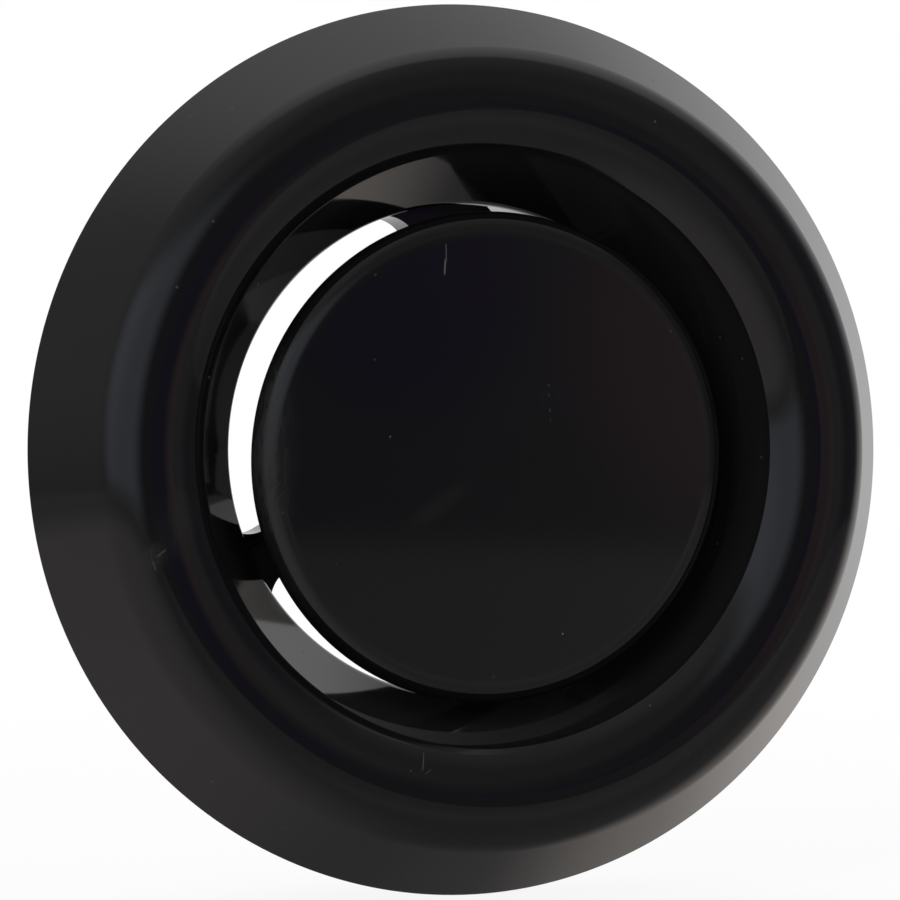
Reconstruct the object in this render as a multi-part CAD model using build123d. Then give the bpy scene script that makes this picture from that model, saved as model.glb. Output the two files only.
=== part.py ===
from build123d import *
import os

# Extract air valve for a wall or ceiling duct. Every piece is drawn on the valve's own axis,
# with Z pointing out of the wall into the room and Y up, and is then turned so that the face
# of the valve looks along -Y and +Z is up. The origin is the centre of the rim's back plane.
# Lengths are in millimetres and heights count from the wall plane.

# Spigot that goes into the duct, with its root collar inside the rim
SPIGOT_R = 48.8
SPIGOT_WALL = 2.2
SPIGOT_LENGTH = 32.0
SPIGOT_CHAMFER = 1.0
SPIGOT_ROOT_STEP = 1.2

# Skin of the rim, funnel and neck: how far each stretch runs inwards and drops, and its rounded corners
WALL = 2.2
CREST_H = 19.2
FLANK_RUN = 11.1
CREST_RUN = 10.8
SLOPE_RUN = 3.8
SLOPE_DROP = 3.8
FUNNEL_RUN = 8.1
FUNNEL_DROP = 13.9
THROAT_STEP = 0.5
NECK_SKIRT = 1.0
CREST_OUTER_ROUND = 9.0
CREST_INNER_ROUND = 9.4
THROAT_ROUND = 1.2
LIP_ROUND = 4.0

# Stiffening behind the rim: radial ribs, the ribs between neck and spigot, and one ring
RIB_COUNT = 6
RIB_THICKNESS = 1.6
RIB_DROP = 6.2
STIFFENER_STEP = 4.9
STIFFENER_THICKNESS = 1.8
STIFFENER_BACK_H = 2.5

# Foam ring stuck inside the rim's foot
GASKET_WIDTH = 8.6
GASKET_THICKNESS = 5.0

# Three-arm bridge with the hub in its middle
ARM_ANGLES = (90.0, 210.0, 330.0)
ARM_WIDTH = 8.0
ARM_DEPTH = 8.0
ARM_FRONT_H = -12.0
ARM_WEB = 2.0
ARM_ROOT_ROUND = 6.0
HUB_WALL = 5.0
HUB_FRONT_STEP = 2.0
HUB_LENGTH = 12.0
HUB_ROUND = 4.0

# Centre disc
DISC_INSET = 0.5
DISC_FRONT_H = 18.2
DISC_DOME = 0.8
DISC_EDGE_DEPTH = 5.2
DISC_EDGE_ROUND = 4.2
DISC_CONE_RUN = 2.7
DISC_CONE_DEPTH = 4.0
DISC_WALL = 2.2
DISC_RIB_COUNT = 6
DISC_RIB_THICKNESS = 1.6
DISC_RIB_SETBACK = 1.5
BOSS_STEP = 0.5
BOSS_LENGTH = 4.0

# Spindle, washers and lock nut; the loose screw leans down in its hub, in degrees, under the disc's weight
SPINDLE_R = 7.0
SPINDLE_LEAN = 2.6
SPINDLE_TAIL = 20.0
SPINDLE_CHAMFER = 1.2
COLLAR_STEP = 2.0
COLLAR_THICKNESS = 2.0
STUB_STEP = 2.0
STUB_LENGTH = 8.0
DISC_WASHER_STEP = 0.2
LOCK_WASHER_WIDTH = 3.8
WASHER_THICKNESS = 1.0
NUT_WALL = 4.0
NUT_THICKNESS = 7.0
NUT_CHAMFER = 0.8

# Clearances: turning fits, fixed sockets, the face play of a loose washer, round the foam, round the leaning
# screw in its hub, and between the hub and the lock washer
RUN_CLEAR = 0.1
SOCKET_CLEAR = 0.1
FACE_CLEAR = 0.15
FOAM_CLEAR = 0.1
HUB_CLEAR = 0.45
LOCK_CLEAR = 0.7

# Corners of the skin, built outwards from the spigot and down from the crest
THROAT_R = SPIGOT_R + THROAT_STEP
LIP_R = THROAT_R - FUNNEL_RUN
CREST_INNER_R = THROAT_R + SLOPE_RUN
CREST_OUTER_R = CREST_INNER_R + CREST_RUN
RIM_R = CREST_OUTER_R + FLANK_RUN
THROAT_H = CREST_H - SLOPE_DROP
LIP_H = THROAT_H - FUNNEL_DROP
NECK_BACK_H = ARM_FRONT_H - ARM_DEPTH - NECK_SKIRT

# Places along the spindle, and what is sized to go round it
HUB_R = SPINDLE_R + HUB_WALL
HUB_FRONT_H = ARM_FRONT_H + HUB_FRONT_STEP
HUB_BACK_H = HUB_FRONT_H - HUB_LENGTH
HUB_MID_H = HUB_FRONT_H - HUB_LENGTH / 2
SPINDLE_BACK_H = HUB_BACK_H - SPINDLE_TAIL
COLLAR_R = SPINDLE_R + COLLAR_STEP
STUB_R = SPINDLE_R - STUB_STEP
BOSS_R = COLLAR_R + BOSS_STEP
DISC_R = LIP_R - DISC_INSET
DISC_SIDE_H = DISC_FRONT_H - DISC_EDGE_DEPTH
DISC_BACK_H = DISC_SIDE_H - DISC_CONE_DEPTH
BOSS_BACK_H = DISC_BACK_H - BOSS_LENGTH
COLLAR_FRONT_H = BOSS_BACK_H - WASHER_THICKNESS - 2 * FACE_CLEAR

SPINDLE_AXIS = Pos(0, 0, HUB_MID_H) * Rot(SPINDLE_LEAN, 0, 0) * Pos(0, 0, -HUB_MID_H)
WALL_TURN = Rot(90, 0, 0)


def flank_r(height):
    """Outer radius of the rim's sloping flank at a height."""
    return RIM_R - (RIM_R - CREST_OUTER_R) * height / CREST_H


def funnel_h(radius):
    """Height of the funnel's front surface at a radius."""
    return LIP_H + (THROAT_H - LIP_H) * (radius - LIP_R) / (THROAT_R - LIP_R)


def revolved(section):
    """Solid of a radius and height section about the valve's axis."""
    return revolve(Plane.XZ * section, Axis.Z)


def ring(inner_r, outer_r, low_h, high_h):
    """Flat ring about the axis between two heights, or a plain disc with no inner radius."""
    plan = Circle(outer_r) - Circle(inner_r) if inner_r else Circle(outer_r)
    return Pos(0, 0, low_h) * extrude(plan, high_h - low_h)


def rim_and_neck():
    """Moulded skin from the rim's edge over the crest and down the funnel to the neck."""
    below = -3 * WALL
    skin = FilletPolyline(
        (flank_r(below), below),
        (CREST_OUTER_R, CREST_H),
        (CREST_INNER_R, CREST_H),
        (THROAT_R, THROAT_H),
        (LIP_R, LIP_H),
        (LIP_R, NECK_BACK_H),
        radius=[CREST_OUTER_ROUND, CREST_INNER_ROUND, THROAT_ROUND, LIP_ROUND],
    )
    section = make_face(offset(skin, WALL, side=Side.LEFT))
    under_wall = Pos(RIM_R, below) * Rectangle(2 * (RIM_R - SPIGOT_R), -2 * below)
    return revolved(section - under_wall)


def spigot():
    """Duct spigot, merged into the middle of the funnel's wall at its front end."""
    inner_r = SPIGOT_R - SPIGOT_WALL
    root_r = SPIGOT_R + SPIGOT_ROOT_STEP
    half_skin = WALL * (THROAT_H - LIP_H) / (THROAT_R - LIP_R) / 2
    section = Polygon(
        (inner_r, -SPIGOT_LENGTH),
        (SPIGOT_R - SPIGOT_CHAMFER, -SPIGOT_LENGTH),
        (SPIGOT_R, SPIGOT_CHAMFER - SPIGOT_LENGTH),
        (SPIGOT_R, 0),
        (root_r, 0),
        (root_r, funnel_h(SPIGOT_R) - half_skin),
        (SPIGOT_R, funnel_h(SPIGOT_R) - half_skin),
        (inner_r, funnel_h(inner_r) - half_skin),
        align=None,
    )
    return revolved(section)


def stiffener():
    """Ring behind the crest that keeps the rim round."""
    outer_r = CREST_INNER_R + STIFFENER_STEP
    return ring(outer_r - STIFFENER_THICKNESS, outer_r, STIFFENER_BACK_H, CREST_H - WALL / 2)


def ribs():
    """Radial ribs that tie spigot to flank, and neck to spigot."""
    low_h = GASKET_THICKNESS + FOAM_CLEAR
    top_h = CREST_H - RIB_DROP
    outer = Polygon(
        (SPIGOT_R, low_h),
        (flank_r(low_h) - WALL / 2, low_h),
        (flank_r(top_h) - WALL / 2, top_h),
        (SPIGOT_R, top_h),
        align=None,
    )
    neck_mid_r = LIP_R + WALL / 2
    inner = Polygon(
        (neck_mid_r, NECK_BACK_H),
        (SPIGOT_R - SPIGOT_WALL / 2, NECK_BACK_H),
        (SPIGOT_R - SPIGOT_WALL / 2, LIP_H),
        (neck_mid_r, LIP_H - WALL),
        align=None,
    )
    blade = extrude(Plane.XZ * (outer + inner), RIB_THICKNESS / 2, both=True)
    step = 360 / RIB_COUNT
    return [Rot(0, 0, ARM_ANGLES[0] + step * i) * blade for i in range(RIB_COUNT)]


def bridge():
    """Three arms and the hub, filleted into the neck and cored from behind."""
    plan = Circle(LIP_R + WALL) - Circle(LIP_R) + Circle(HUB_R)
    reach = LIP_R + WALL / 2
    for angle in ARM_ANGLES:
        plan += Rot(0, 0, angle) * Pos(reach / 2, 0) * Rectangle(reach, ARM_WIDTH)
    roots = [v for v in plan.vertices() if abs(Vector(v).length - LIP_R) < WALL / 4]
    plan = fillet(roots, ARM_ROOT_ROUND)
    at_hub = [v for v in plan.vertices() if abs(Vector(v).length - HUB_R) < WALL / 4]
    plan = fillet(at_hub, HUB_ROUND)
    arm_back_h = ARM_FRONT_H - ARM_DEPTH
    solid = Pos(0, 0, arm_back_h) * extrude(plan, ARM_DEPTH)
    core_from = HUB_R + HUB_ROUND
    core_to = LIP_R - ARM_ROOT_ROUND
    core = Rectangle(core_to - core_from, ARM_WIDTH - 2 * ARM_WEB)
    pocket = Pos((core_from + core_to) / 2, 0, arm_back_h) * extrude(core, ARM_DEPTH - ARM_WEB)
    for angle in ARM_ANGLES:
        solid -= Rot(0, 0, angle) * pocket
    return solid + Rot(0, 0, ARM_ANGLES[0]) * ring(0, HUB_R, HUB_BACK_H, HUB_FRONT_H)


def valve_body():
    """Rim, funnel, neck, spigot, ribs and bridge as one moulding, bored for the spindle."""
    body = rim_and_neck() + spigot() + stiffener() + ribs() + bridge()
    return body - ring(0, SPINDLE_R + HUB_CLEAR, HUB_BACK_H, HUB_FRONT_H)


def flange_gasket():
    """Foam ring against the inside of the flank, pressed flush with the rim's back edge."""
    lean = (RIM_R - CREST_OUTER_R) / CREST_H
    skin = (WALL + FOAM_CLEAR) * (1 + lean**2) ** 0.5
    inner_r = RIM_R - GASKET_WIDTH
    section = Polygon(
        (inner_r, 0),
        (flank_r(0) - skin, 0),
        (flank_r(GASKET_THICKNESS) - skin, GASKET_THICKNESS),
        (inner_r, GASKET_THICKNESS),
        align=None,
    )
    return revolved(section)


def disc_blank(inset, edge_round):
    """Half section of the disc, solid behind its face and drawn inset by a wall."""
    cone_slope = DISC_CONE_RUN / DISC_CONE_DEPTH
    edge_r = DISC_R - inset
    back_r = edge_r - DISC_CONE_RUN - inset * cone_slope
    back_h = DISC_BACK_H - inset
    face_h = DISC_FRONT_H - inset
    rim_h = face_h - DISC_DOME
    dome = ThreePointArc((0, face_h), (edge_r / 2, face_h - DISC_DOME / 4), (edge_r, rim_h))
    back = Polyline((edge_r, rim_h), (edge_r, DISC_SIDE_H), (back_r, back_h), (0, back_h), (0, face_h))
    section = make_face(dome + back)
    edge = section.vertices().group_by(Axis.X)[-1].sort_by(Axis.Y)
    return fillet(edge[-1], edge_round)


def disc_ribs():
    """Radial ribs behind the disc's face, from its boss to its edge."""
    face_h = DISC_FRONT_H - DISC_DOME - DISC_WALL / 2
    edge_r = DISC_R - DISC_WALL / 2
    section = Polygon(
        (0, DISC_BACK_H + DISC_RIB_SETBACK),
        (edge_r - DISC_CONE_RUN, DISC_BACK_H + DISC_RIB_SETBACK),
        (edge_r, DISC_SIDE_H),
        (edge_r, face_h - DISC_EDGE_ROUND / 2),
        (edge_r - DISC_EDGE_ROUND / 2, face_h),
        (0, face_h),
        align=None,
    )
    blade = extrude(Plane.XZ * section, DISC_RIB_THICKNESS / 2, both=True)
    return [Rot(0, 0, ARM_ANGLES[0] + 360 / DISC_RIB_COUNT * i) * blade for i in range(DISC_RIB_COUNT)]


def centre_disc():
    """Domed disc shell with ribs, a boss and a blind socket for the spindle's stub."""
    section = disc_blank(0, DISC_EDGE_ROUND) - disc_blank(DISC_WALL, DISC_EDGE_ROUND - DISC_WALL)
    boss = ring(0, BOSS_R, BOSS_BACK_H, DISC_FRONT_H - DISC_DOME - DISC_WALL / 2)
    socket = ring(0, STUB_R + SOCKET_CLEAR, BOSS_BACK_H, BOSS_BACK_H + STUB_LENGTH + SOCKET_CLEAR)
    return SPINDLE_AXIS * (revolved(section) + disc_ribs() + boss - socket)


def spindle():
    """Screw with a stub for the disc's socket and a collar that backs the disc's boss."""
    collar_back_h = COLLAR_FRONT_H - COLLAR_THICKNESS
    stub_front_h = BOSS_BACK_H + STUB_LENGTH
    section = Polygon(
        (0, SPINDLE_BACK_H),
        (SPINDLE_R - SPINDLE_CHAMFER, SPINDLE_BACK_H),
        (SPINDLE_R, SPINDLE_BACK_H + SPINDLE_CHAMFER),
        (SPINDLE_R, collar_back_h),
        (COLLAR_R, collar_back_h),
        (COLLAR_R, COLLAR_FRONT_H),
        (STUB_R, COLLAR_FRONT_H),
        (STUB_R, stub_front_h),
        (0, stub_front_h),
        align=None,
    )
    return SPINDLE_AXIS * revolved(section)


def disc_washer():
    """Ring on the spindle's stub, between its collar and the disc's boss."""
    back_h = COLLAR_FRONT_H + FACE_CLEAR
    outer_r = COLLAR_R + DISC_WASHER_STEP
    return SPINDLE_AXIS * ring(STUB_R + RUN_CLEAR, outer_r, back_h, back_h + WASHER_THICKNESS)


def lock_washer():
    """Ring on the spindle, between the hub and the lock nut."""
    front_h = HUB_BACK_H - LOCK_CLEAR
    outer_r = SPINDLE_R + LOCK_WASHER_WIDTH
    return SPINDLE_AXIS * ring(SPINDLE_R + RUN_CLEAR, outer_r, front_h - WASHER_THICKNESS, front_h)


def lock_nut():
    """Hexagon nut behind the hub that holds the disc's setting."""
    front_h = HUB_BACK_H - LOCK_CLEAR - WASHER_THICKNESS - FACE_CLEAR
    hexagon = RegularPolygon(SPINDLE_R + NUT_WALL, 6, major_radius=False)
    nut = extrude(hexagon - Circle(SPINDLE_R + RUN_CLEAR), NUT_THICKNESS)
    rims = nut.edges().filter_by(GeomType.LINE).filter_by(Axis.Z, reverse=True)
    return SPINDLE_AXIS * Pos(0, 0, front_h - NUT_THICKNESS) * chamfer(rims, NUT_CHAMFER)


PIECES = {
    "valve_body": valve_body,
    "flange_gasket": flange_gasket,
    "centre_disc": centre_disc,
    "spindle": spindle,
    "disc_washer": disc_washer,
    "lock_washer": lock_washer,
    "lock_nut": lock_nut,
}

os.makedirs("parts", exist_ok=True)
for name, make in PIECES.items():
    export_step(WALL_TURN * make(), f"parts/{name}.step")
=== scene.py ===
import math

import bmesh
import bpy
from mathutils import Matrix, Vector


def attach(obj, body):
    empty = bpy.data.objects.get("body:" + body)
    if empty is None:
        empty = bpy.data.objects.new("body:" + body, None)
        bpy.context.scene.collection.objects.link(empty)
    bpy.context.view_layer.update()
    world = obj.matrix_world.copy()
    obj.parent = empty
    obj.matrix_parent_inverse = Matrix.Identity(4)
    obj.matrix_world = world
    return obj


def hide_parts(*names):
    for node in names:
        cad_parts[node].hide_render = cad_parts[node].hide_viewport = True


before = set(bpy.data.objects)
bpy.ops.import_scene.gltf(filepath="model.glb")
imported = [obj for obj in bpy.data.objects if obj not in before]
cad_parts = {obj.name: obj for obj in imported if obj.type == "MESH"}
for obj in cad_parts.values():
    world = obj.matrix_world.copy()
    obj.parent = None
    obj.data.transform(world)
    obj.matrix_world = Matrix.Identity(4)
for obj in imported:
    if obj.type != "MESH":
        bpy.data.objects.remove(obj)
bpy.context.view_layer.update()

# Sizes of the valve in millimetres. Heights count from the wall plane out into the room, which is -Y,
# and the radius is taken from the valve's axis, with +Z up.
MM = 0.001

# Skin: corners of its front face as radius and height, and the roundings of its front and rear corners
# from the foot of the flank to the back of the neck
WALL = 2.2
FLANK_FOOT = (75.0, 0.0)
CREST_OUTER = (63.9, 19.2)
CREST_INNER = (53.1, 19.2)
THROAT = (49.3, 15.4)
LIP = (41.2, 1.5)
NECK_BACK_H = -21.0
SKIN_ROUNDS = [0.15, 9.0, 9.4, 1.2, 4.0, 0.5]
SKIN_REAR_ROUNDS = [0.3, 6.8, 7.2, 0.3, 1.8, 0.5]
FLANK_SLANT = math.hypot(FLANK_FOOT[0] - CREST_OUTER[0], CREST_OUTER[1]) / CREST_OUTER[1]

# Spigot, with the heights where its root collar and its inside run into the funnel's wall
SPIGOT_R = 48.8
SPIGOT_INNER_R = 46.6
SPIGOT_ROOT_R = 50.0
SPIGOT_BACK_H = -32.0
SPIGOT_CHAMFER = 1.0
SPIGOT_ROOT_TOP_H = 12.65
SPIGOT_INNER_TOP_H = 8.88

# Ribs, with their outlines as radius and height, and the ring behind the crest
RIB_ANGLES = [math.radians(90 + 60 * step) for step in range(6)]
RIB_HALF = 0.8
RIM_RIB_R = 49.4
RIM_RIB_BACK_H = 5.1
RIM_RIB_FRONT_H = 13.0
NECK_RIB = [(42.3, -21), (47.7, -21), (47.7, 1.5), (42.3, -0.7)]
RING_INNER_R = 56.2
RING_OUTER_R = 58.0
RING_BACK_H = 2.5
RING_FRONT_H = 18.1

# Bridge, cored by a pocket in the back of each arm, and its hub
BRIDGE_R = 42.3
ARM_ANGLES = [math.radians(a) for a in (90, 210, 330)]
ARM_HALF = 4.0
ARM_TOP_H = -12.0
ARM_BACK_H = -20.0
ARM_WEB = 2.0
ARM_ROOT_ROUND = 6.0
POCKET_INNER_R = 16.0
POCKET_OUTER_R = 35.2
POCKET_HALF = 2.0
HUB_R = 12.0
HUB_ROUND = 4.0
HUB_BORE_R = 7.45
HUB_FRONT_H = -10.0
HUB_BACK_H = -22.0

# Disc shell, the boss that takes the spindle's stub, and the outline of a rib
DISC_R = 40.7
DISC_FRONT_H = 18.2
DISC_DOME = 0.8
DOME_REACH = 36
DISC_EDGE_ROUND = 4.2
DISC_EDGE_BACK_H = 13.0
DISC_BACK_H = 9.0
DISC_BACK_R = 38.0
DISC_BACK_INNER_R = 35.79
BOSS_R = 9.5
BOSS_BACK_H = 5.0
BOSS_FRONT_H = 16.3
SOCKET_R = 5.1
SOCKET_FRONT_H = 13.1
DISC_RIB = [(7.5, 10.5), (36.9, 10.5), (39.6, 13.0), (39.6, 14.2), (37.5, 16.3), (7.5, 16.3)]

# Spindle, with its thread's profile as a share of the pitch and a radius, and what sits on it: the nut, and
# each washer's inner radius, outer radius and back
SPINDLE_LEAN = math.radians(2.6)
SPINDLE_BACK_H = -42.0
SPINDLE_TIP_R = 5.8
SPINDLE_TIP_CHAMFER = 1.6
PITCH = 4.0
THREAD_CORE_R = 5.7
THREAD_CREST_R = 7.0
THREAD_EASE = 0.12
THREAD = [
    (0.0, THREAD_CREST_R), (0.26, THREAD_CREST_R), (0.30, THREAD_CREST_R - THREAD_EASE),
    (0.46, THREAD_CORE_R + THREAD_EASE), (0.50, THREAD_CORE_R), (0.76, THREAD_CORE_R),
    (0.80, THREAD_CORE_R + THREAD_EASE), (0.96, THREAD_CREST_R - THREAD_EASE),
]
THREAD_TURNS = 14
THREAD_START_H = -46.0
THREAD_FRONT_H = 2.5
THREAD_CLEAR_R = 7.4
COLLAR_R = 9.0
COLLAR_BACK_H = 1.7
COLLAR_FRONT_H = 3.7
STUB_R = 5.0
STUB_FRONT_H = 13.0
NUT_BORE_R = 7.1
NUT_HALF_FLATS = 11
NUT_BACK_H = -30.85
NUT_FRONT_H = -23.85
NUT_SINK = 1.6
NUT_SINK_DEPTH = 0.6
WASHER_THICK = 1
DISC_WASHER = (5.1, 9.2, 3.85)
LOCK_WASHER = (7.1, 10.8, -23.7)

# Foam ring and the clearance round it
GASKET_INNER_R = 66.4
GASKET_FRONT_H = 5
GASKET_CLEAR = 0.1

# Steps in a full turn of the large pieces, of small rings, of the screw and of a bore
AROUND = 256
SMALL_AROUND = 96
SCREW_AROUND = 72
BORE_AROUND = 64

# How far a cut runs past what it cuts, and the short straight that is kept on both sides of each rounding, so
# that the flat faces beside it stay flat in the light
CUT_PAST = 3
GUARD = 0.05


def place(radius, angle, height):
    """Point in metres at a radius, an angle seen from the front and a height."""
    return Vector((radius * math.cos(angle), -height, radius * math.sin(angle))) * MM


def leaning(piece):
    """Tips a piece that the spindle carries, with the spindle, about the middle of the hub."""
    middle = Matrix.Translation(place(0, 0, (HUB_FRONT_H + HUB_BACK_H) / 2))
    piece.data.transform(middle @ Matrix.Rotation(SPINDLE_LEAN, 4, "X") @ middle.inverted())
    return piece


def rounded(corners, closed=True, turn=math.radians(5)):
    """Points of a section through (radius, height, rounding) corners, each rounding drawn as an arc."""
    points = []
    count = len(corners)
    for i, (r, h, rounding) in enumerate(corners):
        at = Vector((r, h))
        inner = closed or 0 < i < count - 1
        if rounding <= 0 or not inner:
            points.append(at)
            continue
        back = Vector(corners[i - 1][:2]) - at
        ahead = Vector(corners[(i + 1) % count][:2]) - at
        back.normalize()
        ahead.normalize()
        half = back.angle(ahead) / 2
        centre = at + (back + ahead).normalized() * (rounding / math.sin(half))
        reach = rounding / math.tan(half)
        first, last = at + back * reach, at + ahead * reach
        points.append(first + back * GUARD)
        points += arc(centre, first, last, turn)
        points.append(last + ahead * GUARD)
    return [(p.x, p.y) for p in points]


def arc(centre, first, last, turn=math.radians(5)):
    """Points from first to last round a centre, the short way, in even steps of about turn."""
    start, end = first - centre, last - centre
    swing = math.atan2(start.x * end.y - start.y * end.x, start.dot(end))
    steps = max(2, math.ceil(abs(swing) / turn))
    spun = []
    for k in range(steps + 1):
        c, s = math.cos(swing * k / steps), math.sin(swing * k / steps)
        spun.append(centre + Vector((start.x * c - start.y * s, start.x * s + start.y * c)))
    return spun


def lathe(section, closed=True, around=AROUND):
    """Solid of a section turned about the valve's axis; an open section starts and ends on the axis."""
    bm = bmesh.new()
    rings = []
    for r, h in section:
        if r < 1e-6:
            rings.append([bm.verts.new(place(0, 0, h))] * around)
        else:
            rings.append([bm.verts.new(place(r, math.tau * k / around, h)) for k in range(around)])
    pairs = list(zip(rings, rings[1:]))
    if closed:
        pairs.append((rings[-1], rings[0]))
    for a, b in pairs:
        for k in range(around):
            n = (k + 1) % around
            corners = list(dict.fromkeys((a[k], a[n], b[n], b[k])))
            if len(corners) > 2:
                bm.faces.new(corners)
    bmesh.ops.recalc_face_normals(bm, faces=bm.faces)
    return bm


def prism(bm, outline, low_h, high_h):
    """Adds a straight solid with an outline of (x, up) points between two heights to bm."""
    low = [bm.verts.new(Vector((x, -low_h, z)) * MM) for x, z in outline]
    high = [bm.verts.new(Vector((x, -high_h, z)) * MM) for x, z in outline]
    made = [bm.faces.new(low), bm.faces.new(high)]
    for k in range(len(outline)):
        n = (k + 1) % len(outline)
        made.append(bm.faces.new((low[k], low[n], high[n], high[k])))
    bmesh.ops.recalc_face_normals(bm, faces=made)


def soften(bm, width, limit=math.radians(50), segments=2):
    """Rounds the edges of bm that are sharper than limit."""
    sharp = [e for e in bm.edges if len(e.link_faces) == 2 and e.calc_face_angle(0) > limit]
    bmesh.ops.bevel(bm, geom=sharp, offset=width * MM, segments=segments, profile=0.5, affect="EDGES",
                    clamp_overlap=True)


def solid(name, bm):
    """Object made from bm."""
    mesh = bpy.data.meshes.new(name)
    bm.to_mesh(mesh)
    bm.free()
    made = bpy.data.objects.new(name, mesh)
    bpy.context.scene.collection.objects.link(made)
    return made


def combine(base, operation, *others):
    """Joins the other solids to base, or cuts them out of it, and removes them."""
    for other in others:
        step = base.modifiers.new(operation, "BOOLEAN")
        step.operation = operation
        step.solver = "MANIFOLD"
        step.object = other
    bpy.context.view_layer.update()
    seen = base.evaluated_get(bpy.context.evaluated_depsgraph_get())
    mesh = bpy.data.meshes.new_from_object(seen)
    base.modifiers.clear()
    base.data = mesh
    for other in others:
        bpy.data.objects.remove(other)
    return base


def smooth(piece, limit=35):
    """Smooth shading that keeps edges sharper than limit degrees, with flat faces kept flat."""
    piece.data.shade_smooth()
    piece.data.set_sharp_from_angle(angle=math.radians(limit))
    weigh = piece.modifiers.new("even_normals", "WEIGHTED_NORMAL")
    weigh.keep_sharp = True
    return piece


def inside_corner(before, at, after, depth):
    """Corner of the skin's rear face behind a corner of its front face."""
    back = (Vector(at) - Vector(before)).normalized()
    ahead = (Vector(after) - Vector(at)).normalized()
    normal = Vector((-back.y - ahead.y, back.x + ahead.x)).normalized()
    behind = Vector(at) + normal * (depth / normal.dot(Vector((-back.y, back.x))))
    return behind.x, behind.y


def flank_r(height):
    """Outer radius of the rim's flank at a height."""
    return FLANK_FOOT[0] + (CREST_OUTER[0] - FLANK_FOOT[0]) * height / CREST_OUTER[1]


def skin():
    """Rim, crest, funnel and neck as one turned skin."""
    front = [FLANK_FOOT, CREST_OUTER, CREST_INNER, THROAT, LIP, (LIP[0], NECK_BACK_H)]
    rear = [(FLANK_FOOT[0] - WALL * FLANK_SLANT, 0.0)]
    rear += [inside_corner(*front[i - 1:i + 2], WALL) for i in range(1, 5)]
    rear.append((LIP[0] + WALL, NECK_BACK_H))
    corners = [(*p, k) for p, k in zip(front, SKIN_ROUNDS)]
    corners += [(*p, k) for p, k in zip(rear[::-1], SKIN_REAR_ROUNDS[::-1])]
    return lathe(rounded(corners))


def spigot():
    """Duct spigot with its root collar, running up into the funnel's wall."""
    return lathe(rounded([
        (SPIGOT_INNER_R, SPIGOT_BACK_H, 0.5), (SPIGOT_R - SPIGOT_CHAMFER, SPIGOT_BACK_H, 0.3),
        (SPIGOT_R, SPIGOT_BACK_H + SPIGOT_CHAMFER, 0.5), (SPIGOT_R, 0, 0.4), (SPIGOT_ROOT_R, 0, 0.4),
        (SPIGOT_ROOT_R, SPIGOT_ROOT_TOP_H, 0), (SPIGOT_R, SPIGOT_ROOT_TOP_H, 0),
        (SPIGOT_INNER_R, SPIGOT_INNER_TOP_H, 0),
    ]))


def upright(bm, blade, angle):
    """Adds a straight radial rib with an outline of (radius, height) points to bm."""
    across = Vector((-math.sin(angle), 0, math.cos(angle))) * RIB_HALF * MM
    sides = [[bm.verts.new(place(r, angle, h) + across * s) for r, h in blade] for s in (-1, 1)]
    made = [bm.faces.new(side) for side in sides]
    for k in range(len(blade)):
        n = (k + 1) % len(blade)
        made.append(bm.faces.new((sides[0][k], sides[0][n], sides[1][n], sides[1][k])))
    bmesh.ops.recalc_face_normals(bm, faces=made)


def ribs():
    """Radial ribs behind the rim, and those between the neck and the spigot."""
    bm = bmesh.new()
    rim_rib = [(RIM_RIB_R, RIM_RIB_BACK_H), (flank_r(RIM_RIB_BACK_H) - WALL / 2, RIM_RIB_BACK_H),
               (flank_r(RIM_RIB_FRONT_H) - WALL / 2, RIM_RIB_FRONT_H), (RIM_RIB_R, RIM_RIB_FRONT_H)]
    for angle in RIB_ANGLES:
        for blade in (rim_rib, NECK_RIB):
            upright(bm, blade, angle)
    soften(bm, 0.25)
    return bm


def window(start, end):
    """Outline of the opening between two arms, with rounded roots at the neck and at the hub."""
    halves = []
    for angle, side in ((start, 1), (end, -1)):
        along = Vector((math.cos(angle), math.sin(angle)))
        across = Vector((-math.sin(angle), math.cos(angle))) * side
        off = ARM_HALF + ARM_ROOT_ROUND
        at_neck = along * math.sqrt((LIP[0] - ARM_ROOT_ROUND) ** 2 - off ** 2) + across * off
        off = ARM_HALF + HUB_ROUND
        at_hub = along * math.sqrt((HUB_R + HUB_ROUND) ** 2 - off ** 2) + across * off
        on_hub = at_hub * HUB_R / (HUB_R + HUB_ROUND)
        on_neck = at_neck * LIP[0] / (LIP[0] - ARM_ROOT_ROUND)
        halves.append(arc(at_hub, on_hub, at_hub - across * HUB_ROUND)
                      + arc(at_neck, at_neck - across * ARM_ROOT_ROUND, on_neck))
    first, second = halves
    round_neck = arc(Vector((0, 0)), first[-1], second[-1], math.radians(3))[1:-1]
    round_hub = arc(Vector((0, 0)), second[0], first[0])[1:-1]
    return [(p.x, p.y) for p in first + round_neck + second[::-1] + round_hub]


def circle(radius, around):
    """Outline of (x, up) points round the axis."""
    turns = [math.tau * k / around for k in range(around)]
    return [(radius * math.cos(t), radius * math.sin(t)) for t in turns]


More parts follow.
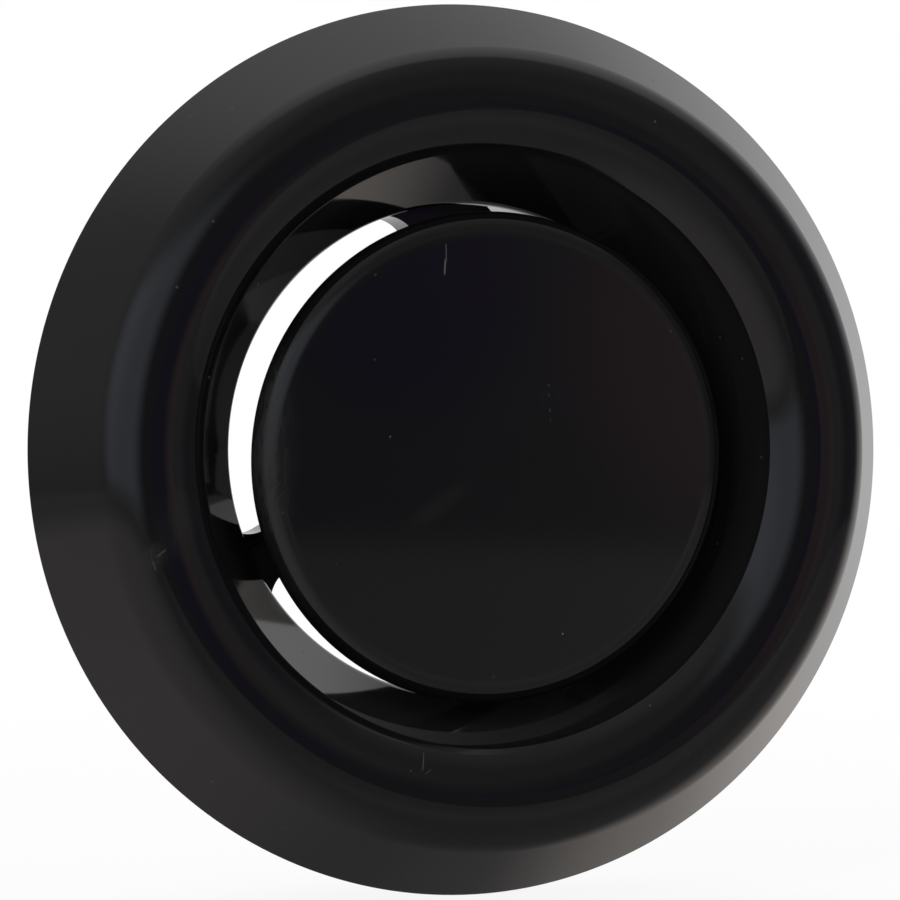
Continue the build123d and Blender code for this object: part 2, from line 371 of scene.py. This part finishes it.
def bridge():
    """Three arms cored from behind, with the hub in their middle."""
    plate, cuts = bmesh.new(), bmesh.new()
    prism(plate, circle(BRIDGE_R, AROUND), ARM_BACK_H, ARM_TOP_H)
    for k, angle in enumerate(ARM_ANGLES):
        end = ARM_ANGLES[(k + 1) % 3]
        prism(cuts, window(angle, end), ARM_BACK_H - CUT_PAST, ARM_TOP_H + CUT_PAST)
        along = Vector((math.cos(angle), math.sin(angle)))
        across = Vector((-along.y, along.x))
        pocket = [along * u + across * v for u, v in (
            (POCKET_INNER_R, -POCKET_HALF), (POCKET_OUTER_R, -POCKET_HALF),
            (POCKET_OUTER_R, POCKET_HALF), (POCKET_INNER_R, POCKET_HALF))]
        prism(cuts, [(p.x, p.y) for p in pocket], ARM_BACK_H - CUT_PAST, ARM_TOP_H - ARM_WEB)
    prism(cuts, circle(HUB_BORE_R, BORE_AROUND), ARM_BACK_H - CUT_PAST, ARM_TOP_H + CUT_PAST)
    made = combine(solid("bridge", plate), "DIFFERENCE", solid("cuts", cuts))
    bm = bmesh.new()
    bm.from_mesh(made.data)
    soften(bm, 0.5)
    bm.to_mesh(made.data)
    bm.free()
    hub = rounded([(HUB_BORE_R, HUB_BACK_H, 0.6), (HUB_R, HUB_BACK_H, 0.6), (HUB_R, HUB_FRONT_H, 0.8),
                   (HUB_BORE_R, HUB_FRONT_H, 0.6)])
    return combine(made, "UNION", solid("hub", lathe(hub, around=SMALL_AROUND)))


def valve_body():
    """Rim, funnel, neck, spigot, ribs and bridge as one moulding."""
    ring = lathe(rounded([(RING_INNER_R, RING_BACK_H, 0.4), (RING_OUTER_R, RING_BACK_H, 0.4),
                          (RING_OUTER_R, RING_FRONT_H, 0), (RING_INNER_R, RING_FRONT_H, 0)]))
    parts = [solid("spigot", spigot()), solid("stiffener", ring), solid("ribs", ribs()), bridge()]
    return smooth(combine(solid("valve_body_moulding", skin()), "UNION", *parts))


def dome(face_h, edge_r, reach):
    """Corners of a domed face from the axis out to a radius."""
    ball = (edge_r ** 2 + DISC_DOME ** 2) / (2 * DISC_DOME)
    radii = [reach * k / 10 for k in range(11)]
    return [(r, face_h - (ball - math.sqrt(ball ** 2 - r ** 2)), 0) for r in radii]


def centre_disc():
    """Domed disc shell with a rounded edge, open behind, with six ribs and a boss for the spindle."""
    inner_r, inner_h = DISC_R - WALL, DISC_FRONT_H - WALL
    section = dome(DISC_FRONT_H, DISC_R, DOME_REACH) + [
        (DISC_R, DISC_FRONT_H - DISC_DOME, DISC_EDGE_ROUND), (DISC_R, DISC_EDGE_BACK_H, 0.2),
        (DISC_BACK_R, DISC_BACK_H, 0.3), (DISC_BACK_INNER_R, DISC_BACK_H, 0.3),
        (inner_r, DISC_EDGE_BACK_H, 0), (inner_r, inner_h - DISC_DOME, DISC_EDGE_ROUND - WALL),
    ] + dome(inner_h, inner_r, DOME_REACH)[::-1]
    shell = solid("centre_disc_shell", lathe(rounded(section, closed=False), closed=False))
    boss = rounded([(0, BOSS_FRONT_H, 0), (BOSS_R, BOSS_FRONT_H, 0), (BOSS_R, BOSS_BACK_H, 0.5),
                    (SOCKET_R, BOSS_BACK_H, 0.2), (SOCKET_R, SOCKET_FRONT_H, 0), (0, SOCKET_FRONT_H, 0)],
                   closed=False)
    boss = solid("boss", lathe(boss, closed=False, around=SMALL_AROUND))
    blades = bmesh.new()
    for angle in RIB_ANGLES:
        upright(blades, DISC_RIB, angle)
    soften(blades, 0.2)
    combine(shell, "UNION", solid("blades", blades), boss)
    return smooth(leaning(shell))


def spindle():
    """Screw with a right-hand trapezoid thread, a collar and a stub."""
    bm = bmesh.new()
    shares = [k / SCREW_AROUND for k in range(SCREW_AROUND)]
    rows = []
    for turn in range(THREAD_TURNS):
        for up, r in THREAD:
            rows.append([bm.verts.new(place(r, math.tau * s, THREAD_START_H + PITCH * (turn + up + s)))
                         for s in shares])
    per_turn = len(THREAD)
    for i in range(len(rows) - 1):
        for k in range(SCREW_AROUND - 1):
            bm.faces.new((rows[i][k], rows[i][k + 1], rows[i + 1][k + 1], rows[i + 1][k]))
        if i + per_turn + 1 < len(rows):
            bm.faces.new((rows[i][-1], rows[i + per_turn][0], rows[i + per_turn + 1][0], rows[i + 1][-1]))
    bmesh.ops.holes_fill(bm, edges=[e for e in bm.edges if e.is_boundary], sides=0)
    bmesh.ops.recalc_face_normals(bm, faces=bm.faces)
    thread = solid("spindle_screw", bm)
    envelope = [(0, SPINDLE_BACK_H), (SPINDLE_TIP_R, SPINDLE_BACK_H),
                (THREAD_CLEAR_R, SPINDLE_BACK_H + SPINDLE_TIP_CHAMFER), (THREAD_CLEAR_R, THREAD_FRONT_H),
                (0, THREAD_FRONT_H)]
    combine(thread, "INTERSECT", solid("envelope", lathe(envelope, closed=False, around=SCREW_AROUND)))
    head = rounded([(0, COLLAR_BACK_H, 0), (COLLAR_R, COLLAR_BACK_H, 0.3), (COLLAR_R, COLLAR_FRONT_H, 0.3),
                    (STUB_R, COLLAR_FRONT_H, 0.2), (STUB_R, STUB_FRONT_H, 0.5), (0, STUB_FRONT_H, 0)],
                   closed=False)
    combine(thread, "UNION", solid("head", lathe(head, closed=False, around=SCREW_AROUND)))
    return smooth(leaning(thread), 28)


def lock_nut():
    """Hexagon nut with rounded edges and a countersunk bore."""
    bm = bmesh.new()
    prism(bm, circle(NUT_HALF_FLATS / math.cos(math.pi / 6), 6), NUT_BACK_H, NUT_FRONT_H)
    soften(bm, 0.8, segments=3)
    sink_r = NUT_BORE_R + NUT_SINK
    hole = lathe([(0, NUT_BACK_H - 1), (sink_r, NUT_BACK_H - 1), (NUT_BORE_R, NUT_BACK_H + NUT_SINK_DEPTH),
                  (NUT_BORE_R, NUT_FRONT_H - NUT_SINK_DEPTH), (sink_r, NUT_FRONT_H + 1),
                  (0, NUT_FRONT_H + 1)], closed=False, around=SCREW_AROUND)
    return smooth(leaning(combine(solid("lock_nut_hexagon", bm), "DIFFERENCE", solid("hole", hole))))


def washer(name, inner_r, outer_r, low_h):
    """Flat ring on the spindle with rounded edges."""
    high_h = low_h + WASHER_THICK
    corners = [(inner_r, low_h, 0.15), (outer_r, low_h, 0.25),
               (outer_r, high_h, 0.25), (inner_r, high_h, 0.15)]
    return smooth(leaning(solid(name, lathe(rounded(corners, turn=math.radians(15)), around=SMALL_AROUND))))


def flange_gasket():
    """Foam wedge ring inside the rim's foot."""
    gap = (WALL + GASKET_CLEAR) * FLANK_SLANT
    corners = [(GASKET_INNER_R, 0, 0.7), (flank_r(0) - gap, 0, 0.4),
               (flank_r(GASKET_FRONT_H) - gap, GASKET_FRONT_H, 0.6), (GASKET_INNER_R, GASKET_FRONT_H, 0.6)]
    return smooth(solid("flange_gasket_foam", lathe(rounded(corners, turn=math.radians(12)))))


def node(tree, kind, sockets=None, **settings):
    """New node with its settings, and its sockets set to values or linked from other sockets."""
    made = tree.nodes.new(kind)
    for key, value in settings.items():
        setattr(made, key, value)
    for key, value in (sockets or {}).items():
        if isinstance(value, bpy.types.NodeSocket):
            tree.links.new(value, made.inputs[key])
        else:
            made.inputs[key].default_value = value
    return made


def math_node(tree, operation, a, b):
    """Result of a sum on two values."""
    return node(tree, "ShaderNodeMath", {0: a, 1: b}, operation=operation).outputs[0]


def product(tree, a, b):
    """One value times another."""
    return math_node(tree, "MULTIPLY", a, b)


def larger(tree, a, b):
    """The larger of two values."""
    return math_node(tree, "MAXIMUM", a, b)


def length(tree, where):
    """Distance of a point from the origin of its coordinates."""
    return node(tree, "ShaderNodeVectorMath", {0: where}, operation="LENGTH").outputs["Value"]


def noise(tree, where, scale, detail=2.0, roughness=0.5):
    """Soft noise from 0 to 1."""
    return node(tree, "ShaderNodeTexNoise", {"Vector": where, "Scale": scale, "Detail": detail,
                                             "Roughness": roughness}).outputs["Fac"]


def ramp(tree, value, low, high, to_low=0.0, to_high=1.0):
    """Value mapped smoothly from one range to another."""
    return node(tree, "ShaderNodeMapRange", {"Value": value, 1: low, 2: high, 3: to_low, 4: to_high},
                interpolation_type="SMOOTHSTEP").outputs[0]


def stretched(tree, where, turn, stretch):
    """Coordinates turned about the valve's axis and drawn out along one way."""
    return node(tree, "ShaderNodeMapping", {"Vector": where, "Rotation": (0, turn, 0),
                                            "Scale": stretch}).outputs[0]


def mark(tree, where, x, up, half_width, half_length, turn, strength, streaks):
    """Strength of one scratch, or of a rubbed patch where streaks is set, on the front of a piece."""
    local = node(tree, "ShaderNodeMapping", {
        "Vector": where, "Location": Vector((x, MARK_H, up)) * MM, "Rotation": (0, math.radians(turn), 0),
        "Scale": Vector((half_width, MARK_DEPTH, half_length)) * MM}, vector_type="TEXTURE").outputs[0]
    if streaks:
        along = stretched(tree, where, math.radians(turn + STREAK_TURN), STREAK_STRETCH)
        lines = noise(tree, along, 1, 3, 0.7)
        return product(tree, ramp(tree, length(tree, local), 0.3, 1.0, strength, 0),
                       ramp(tree, lines, 0.35, 0.72, 0.4, 1.0))
    off = node(tree, "ShaderNodeVectorMath", {0: local}, operation="ABSOLUTE").outputs[0]
    across = node(tree, "ShaderNodeSeparateXYZ", {0: off}).outputs
    share = product(tree, ramp(tree, across["X"], 0.4, 1.0, strength, 0),
                    ramp(tree, across["Z"], 0.6, 1.0, 1, 0))
    return product(tree, share, ramp(tree, across["Y"], 0.9, 1.0, 1, 0))


def finish(name, colour, rough, grain=0.25, dust=1.0, scratches=1.0, marks=(), painted_funnel_light=None):
    """Moulded plastic with mottled sheen, a fine grain, hairline scratches, dust and marks of its own.

    The last argument is painted light: a paler colour round the axis that stands in for light in the funnel,
    given as the radius out to which it is whole and where it is gone, and its strength.
    """
    material = bpy.data.materials.new(name)
    material.use_nodes = True
    tree = material.node_tree
    shader = tree.nodes["Principled BSDF"]
    where = node(tree, "ShaderNodeTexCoord").outputs["Object"]
    mottle = noise(tree, where, 55, 4, 0.6)
    fine = noise(tree, where, 2600, 2)
    hair = None
    for turn, stretch in HAIRS:
        line = ramp(tree, noise(tree, stretched(tree, where, turn, stretch), 1, 1), 0.70, 0.78)
        hair = line if hair is None else larger(tree, hair, line)
    hair = product(tree, hair, ramp(tree, noise(tree, where, 30, 2), 0.5, 0.75, 0, scratches))
    cells = node(tree, "ShaderNodeTexVoronoi", {"Vector": where, "Scale": SPECK_SCALE})
    speck = ramp(tree, cells.outputs["Distance"], 0.05, 0.09, 1, 0)
    pick = node(tree, "ShaderNodeSeparateColor", {0: cells.outputs["Color"]}).outputs[0]
    speck = product(tree, speck, ramp(tree, pick, 0.92, 0.95, 0, dust))
    pale = math_node(tree, "ADD", product(tree, speck, SPECK_PALE), product(tree, hair, HAIR_PALE))
    for spot in marks:
        pale = larger(tree, pale, mark(tree, where, *spot))
    wear = math_node(tree, "MINIMUM", product(tree, pale, WEAR_GAIN), 1.0)
    dull = larger(tree, product(tree, larger(tree, speck, hair), DUST_DULL), product(tree, wear, WEAR_DULL))
    # Painted light: the colour is made paler round the axis, out to a radius, to stand in for light in the
    # funnel
    if painted_funnel_light:
        flat = node(tree, "ShaderNodeVectorMath", {0: where, 1: (1, 0, 1)}, operation="MULTIPLY").outputs[0]
        whole, gone, strength = painted_funnel_light
        painted_light_share = ramp(tree, length(tree, flat), whole * MM, gone * MM, 1, 0)
        pale = larger(tree, pale, product(tree, painted_light_share, strength))
    tint = node(tree, "ShaderNodeMix", {0: pale, "A": (*colour, 1), "B": (*DUST, 1)}, data_type="RGBA")
    tree.links.new(tint.outputs["Result"], shader.inputs["Base Color"])
    sheen = math_node(tree, "ADD", ramp(tree, mottle, 0.3, 0.7, rough * 0.8, rough * 1.2), dull)
    tree.links.new(sheen, shader.inputs["Roughness"])
    height = math_node(tree, "ADD", product(tree, fine, grain),
                       math_node(tree, "SUBTRACT", speck, hair))
    bump = node(tree, "ShaderNodeBump", {"Height": height, "Strength": 0.35, "Distance": 0.00003})
    tree.links.new(bump.outputs[0], shader.inputs["Normal"])
    shader.inputs["IOR"].default_value = 1.5
    return material


def rubber(name, colour, rough, scale, depth):
    """Matt soft material with fine cells."""
    material = bpy.data.materials.new(name)
    material.use_nodes = True
    tree = material.node_tree
    shader = tree.nodes["Principled BSDF"]
    where = node(tree, "ShaderNodeTexCoord").outputs["Object"]
    cells = node(tree, "ShaderNodeTexVoronoi", {"Vector": where, "Scale": scale}).outputs["Distance"]
    cloud = noise(tree, where, scale / 12, 3)
    tint = node(tree, "ShaderNodeMix", {0: ramp(tree, cloud, 0.35, 0.65), "A": (*colour, 1),
                                        "B": (*[c * 1.5 for c in colour], 1)}, data_type="RGBA")
    tree.links.new(tint.outputs["Result"], shader.inputs["Base Color"])
    tree.links.new(ramp(tree, cloud, 0.3, 0.7, rough - 0.05, rough + 0.05), shader.inputs["Roughness"])
    bump = node(tree, "ShaderNodeBump", {"Height": cells, "Strength": 0.6, "Distance": depth})
    tree.links.new(bump.outputs[0], shader.inputs["Normal"])
    return material


# Dust, with the size and paleness of its specks, hairlines with their turns and stretches, and how much dust
# and wear dull the gloss
DUST = (0.75, 0.74, 0.72)
SPECK_SCALE = 330
SPECK_PALE = 0.05
HAIRS = ((0.35, (2200, 2200, 45)), (1.25, (1900, 1900, 60)), (-0.6, (2600, 2600, 38)))
HAIR_PALE = 0.012
DUST_DULL = 0.25
WEAR_GAIN = 80.0
WEAR_DULL = 0.4

# Scratches and rubbed patches seen on the valve: place across and up, half width, half length, turn from
# upright in degrees, strength, and whether it is a streaky patch. They lie on faces about one height, and the
# streaks of a patch are turned on from it.
MARK_H = -16.0
MARK_DEPTH = 9.0
STREAK_TURN = 40
STREAK_STRETCH = (1500, 1500, 300)
DISC_MARKS = [
    (-9.3, 32.2, 0.10, 1.7, -2, 0.06, False),
    (-9.5, 29.9, 0.17, 1.5, 3, 0.09, False),
    (8.7, 10.6, 0.14, 0.30, 0, 0.030, False),
    (8.7, 9.0, 0.12, 0.35, 0, 0.022, False),
    (8.9, 6.5, 0.14, 0.30, 0, 0.030, False),
    (9.0, 4.9, 0.12, 0.25, 0, 0.022, False),
    (11.9, -30.5, 0.20, 0.20, 0, 0.10, False),
    (-18.6, 2.1, 0.16, 0.22, 30, 0.06, False),
    (-37.6, -6.0, 0.12, 1.6, 40, 0.012, False),
    (-36.8, -7.4, 0.12, 1.2, 44, 0.010, False),
    (-42.5, 2.0, 9.6, 36.0, 0, 0.016, True),
    (-42.0, 0.0, 3.4, 36.0, 0, 0.030, True),
    (-36.0, -20.0, 4.5, 14.0, -24, 0.006, True),
    (-10.0, -9.0, 2.6, 9.0, 58, 0.003, True),
]
BODY_MARKS = [
    (-12.9, -51.0, 0.13, 1.7, 14, 0.05, False),
    (-12.2, -52.6, 0.10, 0.8, 60, 0.03, False),
    (-57.3, -16.6, 0.22, 1.1, 50, 0.03, False),
    (-58.4, -18.6, 0.20, 0.9, -20, 0.025, False),
    (-55.0, -12.0, 5.0, 9.0, 15, 0.006, True),
    (-58.0, -17.0, 3.0, 4.0, 30, 0.010, True),
]
BLACK = (0.0033, 0.0033, 0.0035)
# The body's funnel gets painted light, a paler colour round the axis standing in for light in the funnel
plastic = finish("black_plastic", BLACK, 0.04, grain=0.02, dust=0.8, scratches=0.35, marks=BODY_MARKS,
                 painted_funnel_light=(48.5, 50.0, 0.005))
disc_plastic = finish("black_disc_plastic", BLACK, 0.05, grain=0.02, dust=0.4, scratches=0.3,
                      marks=DISC_MARKS)
screw_plastic = finish("black_screw_plastic", (0.012, 0.012, 0.0125), 0.38, grain=0.5, dust=0.3)
foam = rubber("grey_foam", (0.035, 0.035, 0.037), 0.9, 1500, 0.0002)
washer_rubber = rubber("black_rubber", (0.02, 0.02, 0.02), 0.6, 4000, 0.00004)

pieces = [
    (valve_body(), "valve_body", "housing", "body_plastic", plastic),
    (flange_gasket(), "flange_gasket", "housing", "foam", foam),
    (centre_disc(), "centre_disc", "disc", "disc_plastic", disc_plastic),
    (spindle(), "spindle", "disc", "screw_plastic", screw_plastic),
    (washer("disc_washer_ring", *DISC_WASHER), "disc_washer", "disc_carrier", "washer_rubber", washer_rubber),
    (washer("lock_washer_ring", *LOCK_WASHER), "lock_washer", "nut_carrier", "washer_rubber", washer_rubber),
    (lock_nut(), "lock_nut", "nut", "screw_plastic", screw_plastic),
]
for piece, cad_node, body, slot, material in pieces:
    piece.data.materials.clear()
    piece.data.materials.append(material)
    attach(piece, body)
    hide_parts(cad_node)

# Camera at the photograph's view: level, from the valve's left, with the picture moved a little sideways
scene = bpy.context.scene
scene.view_settings.view_transform = "Standard"
lens = bpy.data.cameras.new("camera")
lens.lens = 178.3
lens.sensor_width = 36
lens.shift_x = -0.0149
lens.shift_y = -0.0004
camera = bpy.data.objects.new("camera", lens)
camera.location = (-0.2362, -0.7118, 0)
camera.rotation_euler = (Vector((0, 0, 0)) - camera.location).to_track_quat("-Z", "Y").to_euler()
scene.collection.objects.link(camera)
scene.camera = camera

# Studio seen in the gloss: white paper behind the valve, a window on its left, a soft light overhead, a table
# and a dim room in front. Each card adds a colour, or takes one away. Its spots are azimuth and elevation
# from the valve, with the angles off that where it begins to fade and is gone. Its band is the elevations where
# it starts and is full, and where it begins to fade again and is gone. The paper has one spot.
STUDIO = [
    ("room", (0.165, 0.165, 0.17), [], None),
    ("overhead light", (0.395, 0.395, 0.395), [(150, 60, 14, 61), (180, 0, 88, 97)], None),
    ("ceiling", (0.075, 0.075, 0.075), [(90, 75, 8, 42)], None),
    ("window", (0.36, 0.395, 0.47), [(-51, 12, 20, 48)], (-10, -4, 26, 44)),
    ("left wall", (0.15, 0.15, 0.15), [(-100, 42, 25, 60)], None),
    ("right wall", (0.225, 0.225, 0.23), [(130, 6, 18, 38)], None),
    ("dark doorway", (-0.08, -0.08, -0.065), [(85, 10, 18, 38)], None),
    ("shade of the table", (-0.035, -0.035, -0.035), [(170, -55, 25, 50)], None),
    ("dark lens", (-0.09, -0.09, -0.08), [(2, 0, 12, 31)], None),
    ("cool patch", (-0.025, -0.03, 0.025), [(16, 0, 2, 5)], None),
    ("warm shelf", (0.05, 0.028, 0.028), [(36, 6, 8, 26)], None),
    ("warm patch", (0.085, 0.025, 0.04), [(27, -1, 4, 6.8)], None),
    ("near end of the table", (0.055, 0.055, 0.055), [(18, -14, 12, 30)], (-7.0, -8.6)),
    ("table", (0.085, 0.075, 0.075), [], (-6.7, -8.4)),
    ("left of the table", (0.24, 0.215, 0.20), [(-85, -30, 22, 72)], (-9, -16)),
    ("right of the table", (0.33, 0.30, 0.26), [(122, -22, 14, 36)], None),
]
PAPER = (0.74, 0.74, 0.74)
PAPER_SPOT = (-168, 9, 50, 57)
SOFT_LIGHT = (0.45, 0.45, 0.45)
world = bpy.data.worlds.new("studio")
scene.world = world
world.use_nodes = True
tree = world.node_tree
tree.nodes.clear()
toward = node(tree, "ShaderNodeTexCoord").outputs["Generated"]
upward = node(tree, "ShaderNodeSeparateXYZ", {0: toward}).outputs["Z"]


def facing(azimuth, elevation, full, gone):
    """Share that falls from 1 to 0 between two angles off a direction."""
    a, e = math.radians(azimuth), math.radians(elevation)
    middle = (math.sin(a) * math.cos(e), -math.cos(a) * math.cos(e), math.sin(e))
    dot = node(tree, "ShaderNodeVectorMath", {0: toward, 1: middle}, operation="DOT_PRODUCT").outputs["Value"]
    return ramp(tree, dot, math.cos(math.radians(gone)), math.cos(math.radians(full)))


def step(low, high, *ends):
    """Share that goes from one end to the other between two elevations."""
    return ramp(tree, upward, math.sin(math.radians(low)), math.sin(math.radians(high)), *ends)


def level(start, full, *fade):
    """Share that starts and is 1 at two elevations, and fades to 0 between two more if they are given."""
    share = step(start, full) if start < full else step(full, start, 1, 0)
    return product(tree, share, step(*fade, 1, 0)) if fade else share


room = None
for _, colour, spots, band in STUDIO:
    share = 1.0
    for spot in spots:
        share = product(tree, facing(*spot), share)
    if band:
        share = product(tree, level(*band), share)
    card = node(tree, "ShaderNodeVectorMath", {0: colour, "Scale": share}, operation="SCALE").outputs[0]
    if room is not None:
        card = node(tree, "ShaderNodeVectorMath", {0: room, 1: card}, operation="ADD").outputs[0]
    room = card
studio = node(tree, "ShaderNodeMix", {0: facing(*PAPER_SPOT), "A": room, "B": (*PAPER, 1)},
              data_type="RGBA").outputs["Result"]
path = node(tree, "ShaderNodeLightPath")
lit = node(tree, "ShaderNodeMix", {0: path.outputs["Is Glossy Ray"], "A": (*SOFT_LIGHT, 1), "B": studio},
           data_type="RGBA").outputs["Result"]
seen = larger(tree, path.outputs["Is Camera Ray"], path.outputs["Is Transmission Ray"])
white = node(tree, "ShaderNodeMix", {0: seen, "A": lit, "B": (1, 1, 1, 1)},
             data_type="RGBA").outputs["Result"]
background = node(tree, "ShaderNodeBackground", {"Color": white, "Strength": 1.0})
node(tree, "ShaderNodeOutputWorld", {"Surface": background.outputs[0]})


def lamp(name, location, size, watts):
    """Large soft lamp aimed at the valve."""
    data = bpy.data.lights.new(name, "AREA")
    data.energy = watts
    data.size = size
    made = bpy.data.objects.new(name, data)
    made.location = location
    made.rotation_euler = (-Vector(location)).to_track_quat("-Z", "Y").to_euler()
    made.visible_glossy = False
    made.visible_camera = False
    scene.collection.objects.link(made)


lamp("key_lamp", (-1.2, -1.1, 0.9), 1.0, 14)
lamp("fill_lamp", (1.3, -1.2, 0.6), 1.2, 6)
lamp("top_lamp", (0.2, 0.5, 1.6), 1.2, 12)

# Pale floor just under the rim, white to the camera far off and a little less so near the valve
FLOOR_Z = -0.0755
floor_mesh = bpy.data.meshes.new("floor")
corners = [(x, y, FLOOR_Z) for x, y in ((-4, -4), (4, -4), (4, 6), (-4, 6))]
floor_mesh.from_pydata(corners, [], [(0, 1, 2, 3)])
floor = bpy.data.objects.new("floor", floor_mesh)
scene.collection.objects.link(floor)
floor.visible_glossy = False
paper = bpy.data.materials.new("pale_floor")
paper.use_nodes = True
tree = paper.node_tree
tree.nodes.clear()
matt = node(tree, "ShaderNodeBsdfDiffuse", {"Color": (0.85, 0.85, 0.85, 1)})
glow = node(tree, "ShaderNodeEmission", {"Color": (1, 1, 1, 1), "Strength": 1.0})
path = node(tree, "ShaderNodeLightPath")
far = length(tree, node(tree, "ShaderNodeTexCoord").outputs["Object"])
share = product(tree, path.outputs["Is Camera Ray"], ramp(tree, far, 0.2, 0.7, 0.9, 1.0))
mixed = node(tree, "ShaderNodeMixShader", {0: share, 1: matt.outputs[0], 2: glow.outputs[0]})
node(tree, "ShaderNodeOutputMaterial", {"Surface": mixed.outputs[0]})
floor_mesh.materials.append(paper)
